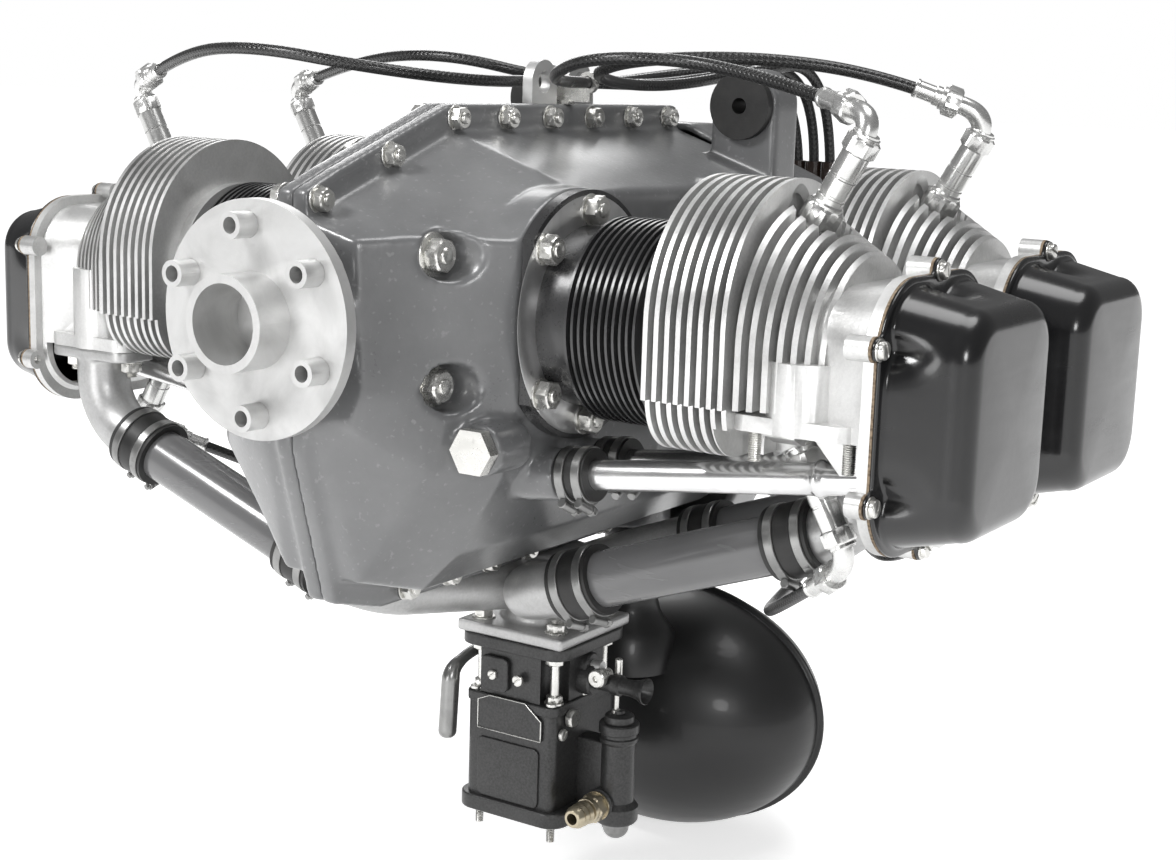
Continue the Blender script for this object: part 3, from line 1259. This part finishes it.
def rodTubes():
    # drawn tubes with a rolled stop bead at the head end
    out = np.concatenate([[0.0], np.linspace(0.158, 0.176, 19), [0.2]])
    bead = 0.0018 * np.exp(-((out - 0.167) / 0.0028) ** 2)
    long = (rods["tubeTo"] - rods["tubeFrom"]) / math.cos(rods["angle"])
    out = out * long / 0.2
    inner = 0.0083
    profile = [(0, inner)] + list(zip(out, rods["tubeRadius"] + bead)) + [(long, inner), (0, inner)]
    pair = [turned(profile, rodPoint(rods["tubeFrom"], offset), rodAxis, 48)
            for offset in (-rods["spread"], rods["spread"])]
    return gridMesh("rodTubes", onEachCylinder(pair), 35)


hoseMiddles = [(intake["stubEnd"] + intake["tubeFrom"]) / 2, (intake["tubeTo"] + intake["elbowFrom"]) / 2]


def intakeClamps():
    # two clamps on each intake hose, with the screws turned down
    grids, facing = [], (0, -0.35, -1)
    for middle in hoseMiddles:
        for shift in (-intake["clampShare"], intake["clampShare"]):
            at = pipePoint(middle + intake["hoseLong"] * shift)
            grids += wormClamp(at, pipeAxis, intake["clampRadius"], intake["clampWidth"], bandThick, facing)
    return gridMesh("intakeClamps", onEachCylinder(grids), 35)


def intakeHoses():
    # a moulded sleeve, fuller between its clamps, with a thickened lip at both ends
    long = intake["hoseLong"] / math.cos(intake["slope"])
    out = np.linspace(0, long, 41)
    nip = sum(np.exp(-((out - long * place) / 0.0035) ** 4) for place in (0.2, 0.8))
    radius = intake["hoseRadius"] + 0.0008 - 0.0009 * nip
    inner = intake["radius"] + 0.0002
    profile = [(0, inner)] + list(zip(out, radius)) + [(long, inner), (0, inner)]
    pair = [turned(profile, pipePoint(middle - intake["hoseLong"] / 2), pipeAxis, 56)
            for middle in hoseMiddles]
    return gridMesh("intakeHoses", onEachCylinder(pair), 35)


seat(rodClamps(), "engine", slotOf["pushrod_tube_clamps"], "pushrod_tube_clamps", finish="dull_bands")
seat(rodHoses(), "engine", slotOf["pushrod_tube_hoses"], "pushrod_tube_hoses")
seat(rodTubes(), "engine", slotOf["pushrod_tubes"], "pushrod_tubes")
seat(intakeClamps(), "engine", slotOf["intake_hose_clamps"], "intake_hose_clamps", finish="dull_bands")
seat(intakeHoses(), "engine", slotOf["intake_hoses"], "intake_hoses")
print("hoses, tubes and clamps made")


# Carburettor: cast body and bowl with rounded corners, its pump and screws, a bare plate and the lever

carb = {
    "at": (0.0, 0.310, 0.0), "half": 0.038, "depth": 0.042, "flange": 0.046, "bolt": 0.032, "pocket": 0.0115,
    "top": -0.256, "split": -0.300, "low": -0.391, "flangeTall": 0.009, "baseTall": 0.0115,
    "coverTall": 0.008, "pump": (0.068, 0.310), "barrel": 0.0125,
}
sideWays, backWays, upWays = np.eye(3)


def slab(outline, low, high, rounding, at, across, up):
    # an outline pushed along its own normal from low to high; both edges follow a quarter circle inwards
    outline = np.array(outline, float)
    run = np.roll(outline, -1, axis=0) - np.roll(outline, 1, axis=0)
    normal = np.stack([run[:, 1], -run[:, 0]], -1) / np.linalg.norm(run, axis=1)[:, None]
    bend = np.linspace(0, np.pi / 2, 5)
    rise, draw = rounding * (1 - np.cos(bend)), rounding * (1 - np.sin(bend))
    heights = np.concatenate([low + rise, high - rise[::-1]])
    inset = np.concatenate([draw, draw[::-1]])
    flat = outline[None] - normal[None] * inset[:, None, None]
    middle = np.broadcast_to(outline.mean(axis=0), (1,) + outline.shape)
    flat = np.concatenate([middle, flat, middle])
    heights = np.concatenate([[low], heights, [high]])
    through = np.cross(across, up)
    points = np.array(at) + flat[..., :1] * across + flat[..., 1:] * up + heights[:, None, None] * through
    return points, False, True


def roundedPlate(halfWide, halfDeep, corner, low, high, rounding):
    # a rounded rectangle about the throat's axis
    outline = roundedOutline(104, halfWide, -halfDeep, halfDeep, corner)[0]
    return slab(outline, low, high, rounding, carb["at"], sideWays, backWays)


def pocketedPlate(look):
    # the body's outline, with a round pocket at each corner for the flange bolts
    reach, half, depth = look["pocket"], look["half"], look["depth"]
    first = math.asin((half - look["bolt"]) / reach) - np.pi / 2
    last = -1.5 * np.pi + math.acos((depth - look["bolt"]) / reach)
    angle = np.linspace(first, last, 15)
    corner = look["bolt"] + reach * np.stack([np.cos(angle), np.sin(angle)], -1)
    outline = np.concatenate([corner, corner[::-1] * (-1, 1), corner * (-1, -1), corner[::-1] * (1, -1)])
    return slab(outline, look["split"], look["top"] - 0.002, 0.0005, look["at"], sideWays, backWays)


def throttleBodyMesh(look):
    # the flanged body with the shaft's bosses, a ledge for the idle screw and the air horn beside it
    boss = [(-0.006, 0), (-0.006, 0.0085), (-0.005, 0.0095), (look["half"] * 2 + 0.005, 0.0095),
            (look["half"] * 2 + 0.006, 0.0085), (look["half"] * 2 + 0.006, 0)]
    ledge = [(0.0, 0), (0.0, 0.0105), (0.0012, 0.0115), (0.010, 0.0115), (0.0115, 0.010), (0.0115, 0)]
    horn = [(0.0, 0), (0.0, 0.0078), (0.006, 0.0078), (0.007, 0.0062), (0.0145, 0.0060), (0.021, 0.0072),
            (0.0255, 0.0092), (0.0275, 0.0096), (0.0280, 0.0090), (0.0262, 0.0082), (0.021, 0.0055),
            (0.016, 0.0)]
    pad = roundedOutline(64, 0.012, -0.013, 0.013, 0.005)[0]
    flangeFoot = look["top"] - look["flangeTall"]
    return gridMesh("throttleCasting", [
        roundedPlate(look["flange"], look["flange"], 0.014, flangeFoot, look["top"], 0.0012),
        pocketedPlate(look),
        turned(boss, (-look["half"], 0.310, -0.277), sideWays, 40),
        turned(ledge, (look["half"] - 0.001, 0.308, -0.287), sideWays, 40),
        turned(horn, (0.0625, 0.310, -0.2875), sideWays, 44),
        rod(0.0, 0.018, 0.0065, (0.046, 0.310, -0.2875), sideWays, 32),
        slab(pad, 0.0, 0.004, 0.0012, (-0.012, 0.268, -0.283), sideWays, upWays)], 38)


def bowlMesh(look):
    # the bowl between its foot and its cover, with the pump's barrel and web, fuel boss and raised panel
    x, y = look["pump"]
    low, split, r = look["low"], look["split"], look["barrel"]
    foot, coverFoot, coverOut = low + look["baseTall"], split - look["coverTall"], 0.0016
    barrel = [(low + 0.001, 0), (low + 0.001, r + 0.002), (low + 0.003, r + 0.0035),
              (low + 0.013, r + 0.0035), (low + 0.0155, r + 0.0015), (low + 0.017, r), (-0.330, r),
              (-0.329, r + 0.0012), (-0.3275, r + 0.0018), (-0.3255, r + 0.0018), (-0.3245, r + 0.0008),
              (-0.3225, r + 0.0008), (-0.3215, r + 0.0023),
              (-0.3155, r + 0.0023), (-0.3145, r + 0.0015), (-0.314, r - 0.0015), (-0.3095, r - 0.0018),
              (-0.3085, r - 0.003), (-0.3082, 0.004), (-0.3060, 0.0036), (-0.3060, 0)]
    web = roundedOutline(64, 0.017, -0.0085, 0.0085, 0.003)[0] + np.array((0.052, 0.0))
    fuel = [(0.0, 0), (0.0, 0.0105), (0.0012, 0.0115), (0.012, 0.0115), (0.014, 0.0098), (0.014, 0)]
    window = roundedOutline(72, 0.027, -0.3785, -0.3335, 0.004)[0]
    return gridMesh("bowlCasting", [
        roundedPlate(look["flange"], look["flange"], 0.015, low, foot, 0.0014),
        roundedPlate(look["half"], look["depth"], 0.005, foot - 0.002, split - 0.006, 0.0012),
        roundedPlate(look["half"] + coverOut, look["depth"] + coverOut, 0.007, coverFoot, split, 0.0013),
        turned(barrel, (x, y, 0), upWays, 56),
        slab(web, low + 0.008, split - 0.030, 0.0015, (0, y, 0), sideWays, backWays),
        turned(fuel, (0.062, y - 0.016, -0.375), backWays, 44),
        slab(window, -0.0006, 0.0016, 0.0007, (0, y - look["depth"], 0), sideWays, upWays)], 38)


def plateRim(look):
    # the bare plate: an outline with three cut corners, thin and slightly raised, and its bright edge
    outline = np.array([(-0.0265, -0.3265), (0.0292, -0.3265), (0.0292, -0.3115), (0.0150, -0.3005),
                        (-0.0160, -0.3005), (-0.0265, -0.3052)])
    turn = np.roll(outline, -1, axis=0)
    dense = np.concatenate([a + (b - a) * np.linspace(0, 1, 9)[:-1, None] for a, b in zip(outline, turn)])
    front = look["at"][1] - look["depth"]
    edge = np.stack([dense[:, 0], np.full(len(dense), front - 0.0024), dense[:, 1]], -1)
    ring = pipe(np.concatenate([edge, edge[:2]]), 0.00042, 8)
    return slab(dense, -0.0005, 0.0023, 0.0004, (0, front, 0), sideWays, upWays), ring


def carbTrim(look):
    # bright small parts: bolts in the pockets, slotted screws, the idle screw and its spring, stem and plug
    grids = [plateRim(look)[1]]
    x, y = look["pump"]
    bolt = look["bolt"]
    slotted = 0.0026, 0.001, 0.0012        # height, slot's width and depth of the small screws
    for across, along in ((bolt, -bolt), (-bolt, -bolt), (bolt, bolt)):
        at = (across, y + along, 0)
        grids += [rod(-0.3, -0.268, 0.0034, at, upWays, 20),
                  rod(-0.2998, -0.2986, 0.0072, at, upWays, 28),
                  hexNut(0.005, 0.011, at, upWays, 36, 0.4, lift=-0.2986)]
    coverScrewsAt = [(-0.0335, -0.0375), (0.0335, -0.0375), (0.0355, 0.0), (-0.0335, 0.0375),
                     (0.0335, 0.0375)]
    for across, along in coverScrewsAt:
        at = (across, y + along, look["split"] - 0.0001)
        grids.append(slottedHead(at, upWays, 0.0042, *slotted, across * 40))
    front, right = y - look["depth"], look["half"]
    for place, facing, radius in (((0.010, front - 0.004, -0.2835), -backWays, 0.0042),
                                  ((-0.0125, front - 0.004, -0.2835), -backWays, 0.0036),
                                  ((right + 0.0008, 0.279, -0.3225), sideWays, 0.0045)):
        grids.append(slottedHead(place, facing, radius, *slotted, 0.7))
    stem = [(-0.3085, 0), (-0.3085, 0.0034), (-0.3062, 0.0034), (-0.3055, 0.0019), (-0.2935, 0.0019),
            (-0.2935, 0)]
    grids.append(turned(stem, (x - 0.003, y, 0), upWays, 20))
    knob = [(0.0, 0), (0.0, 0.0062), (0.0006, 0.0068), (0.0052, 0.0068), (0.0062, 0.0058), (0.0062, 0.0025),
            (0.0046, 0.002), (0.0046, 0)]
    grids.append(turned(knob, (0.0555, 0.3015, -0.2815), -backWays, 36))
    tall = np.linspace(0, 1, 120)
    coil = np.stack([0.0555 + 0.0036 * np.cos(tall * 12 * np.pi), 0.302 + tall * 0.013,
                     -0.2815 + 0.0036 * np.sin(tall * 12 * np.pi)], -1)
    grids.append(pipe(coil, 0.0006, 8))
    clampBolt = [(0.0, 0), (0.0, 0.0028), (0.014, 0.0028), (0.0145, 0.0023), (0.0145, 0)]
    grids.append(turned(clampBolt, (0.0635, 0.314, -0.2835), upWays, 20))
    grids.append(hexNut(0.0055, 0.0125, (0, 0.2875, -0.3115), sideWays, 40, 0.2, lift=0.0395))
    return gridMesh("carburettorTrim", grids, 32)


def boltPlaces(look):
    reach = (-look["bolt"], look["bolt"])
    return [(across, along) for across in reach for along in reach]


def carbStuds(look):
    # long studs from under the foot up through it, each with its nut
    base, grids = look["low"] + look["baseTall"], []
    for across, along in boltPlaces(look):
        at = (across, look["at"][1] + along, 0)
        grids += [threaded(-look["low"], 0.4055, 0.0031, 0.0012, at, -upWays, 16),
                  rod(look["low"], base, 0.0032, at, upWays, 16),
                  hexNut(0.0045, 0.0105, at, upWays, 36, 0.3, lift=base)]
    return gridMesh("bowlStuds", grids, 32)


def carbBolts(look):
    # the bolts through the flange, with a nut above and a head below
    tall, grids = look["flangeTall"], []
    top, under = look["top"] + tall, look["top"] - tall
    for across, along in boltPlaces(look):
        at = (across, look["at"][1] + along, 0)
        grids += nutOn("flange", top, top + 0.0098, at, upWays, across * 30)
        grids.append(hexNut(0.0055, 0.013, at, -upWays, 44, along * 30, lift=-under))
        grids.append(rod(under, top, 0.0039, at, upWays, 16))
    return gridMesh("carburettorBolts", grids, 32)


def domeNut(look):
    # a hexagon with a rounded cap: the cap's radius follows a quarter of an ellipse
    at = (*look["pump"], look["low"] + 0.001)
    quarter = np.linspace(0, np.pi / 2, 8)
    cap = [(0.005 + 0.0085 * math.sin(a), 0.0096 * math.cos(a)) for a in quarter]
    return gridMesh("pumpNut", [hexNut(0.0055, 0.019, at, -upWays, 48, 0.2),
                                turned([(0.004, 0), (0.004, 0.0096)] + cap, at, -upWays, 40)], 38)


def fuelFitting():
    # a hexagon with a barbed tail and an open bore
    at = np.array((0.062, 0.293, -0.375))
    tail = [(0.010, 0.004), (0.010, 0.0092), (0.0125, 0.0096), (0.0145, 0.0092), (0.015, 0.0072),
            (0.0165, 0.0072), (0.0172, 0.0089), (0.0205, 0.0078), (0.0208, 0.0068), (0.0222, 0.0068),
            (0.0228, 0.0087), (0.026, 0.0076), (0.0263, 0.0066), (0.0275, 0.0066), (0.028, 0.0084),
            (0.0325, 0.0066), (0.033, 0.006), (0.033, 0.0042), (0.010, 0.004)]
    body = [(-0.010, 0.004), (-0.010, 0.0058), (0.0, 0.0058), (0.0, 0.0108), (0.0012, 0.0108),
            (0.0012, 0.0088), (-0.010, 0.004)]
    return gridMesh("fuelNipple", [turned(tail, at, -backWays, 48), turned(body, at, -backWays, 40),
                                   hexNut(0.0095, 0.019, at, -backWays, 48, 0.5, lift=0.001, hole=0.004)], 34)


def leverMesh():
    # a hub on the shaft, an arm that comes forwards and a thick round handle that hangs down
    path = arcLine([(-0.0515, 0.307, -0.2785), (-0.0545, 0.289, -0.2825), (-0.0560, 0.2715, -0.2905),
                    (-0.0562, 0.2680, -0.3430)], 0.4, 14)
    line = evenly(path, 70)
    share = np.linspace(0, 1, len(line))
    thick = 0.0044 + 0.0024 * np.clip((share - 0.28) / 0.2, 0, 1)
    thick = thick * np.sqrt(np.clip(1 - np.clip((share - 0.935) / 0.065, 0, 1) ** 2, 0.0004, 1))
    hub = [(-0.0005, 0), (-0.0005, 0.0082), (0.0005, 0.0092), (0.0085, 0.0092), (0.0095, 0.0082), (0.0095, 0)]
    at = (-0.0455, 0.310, -0.277)
    return gridMesh("leverHandle", [pipe(line, thick, 26), turned(hub, at, -sideWays, 36),
                                    hexNut(0.0048, 0.0125, at, -sideWays, 36, 0.3, lift=0.0093)], 40)


seat(throttleBodyMesh(carb), "engine", "carburettor_alloy", "carburettor_throttle_body")
seat(bowlMesh(carb), "engine", "carburettor_alloy", "carburettor_bowl")
seat(gridMesh("barePlate", [plateRim(carb)[0]], 30), "engine", "carburettor_alloy")
seat(carbTrim(carb), "engine", "plated_fasteners")
seat(carbStuds(carb), "engine", slotOf["carburettor_studs"], "carburettor_studs")
seat(carbBolts(carb), "engine", slotOf["carburettor_flange_bolts"], "carburettor_flange_bolts")
seat(domeNut(carb), "engine", slotOf["accelerator_pump_nut"], "accelerator_pump_nut", finish="dull_bands")
seat(fuelFitting(), "engine", slotOf["fuel_inlet_fitting"], "fuel_inlet_fitting")
seat(leverMesh(), "throttle", slotOf["throttle_lever"], "throttle_lever", finish="dull_bands")
print("carburettor dressed")
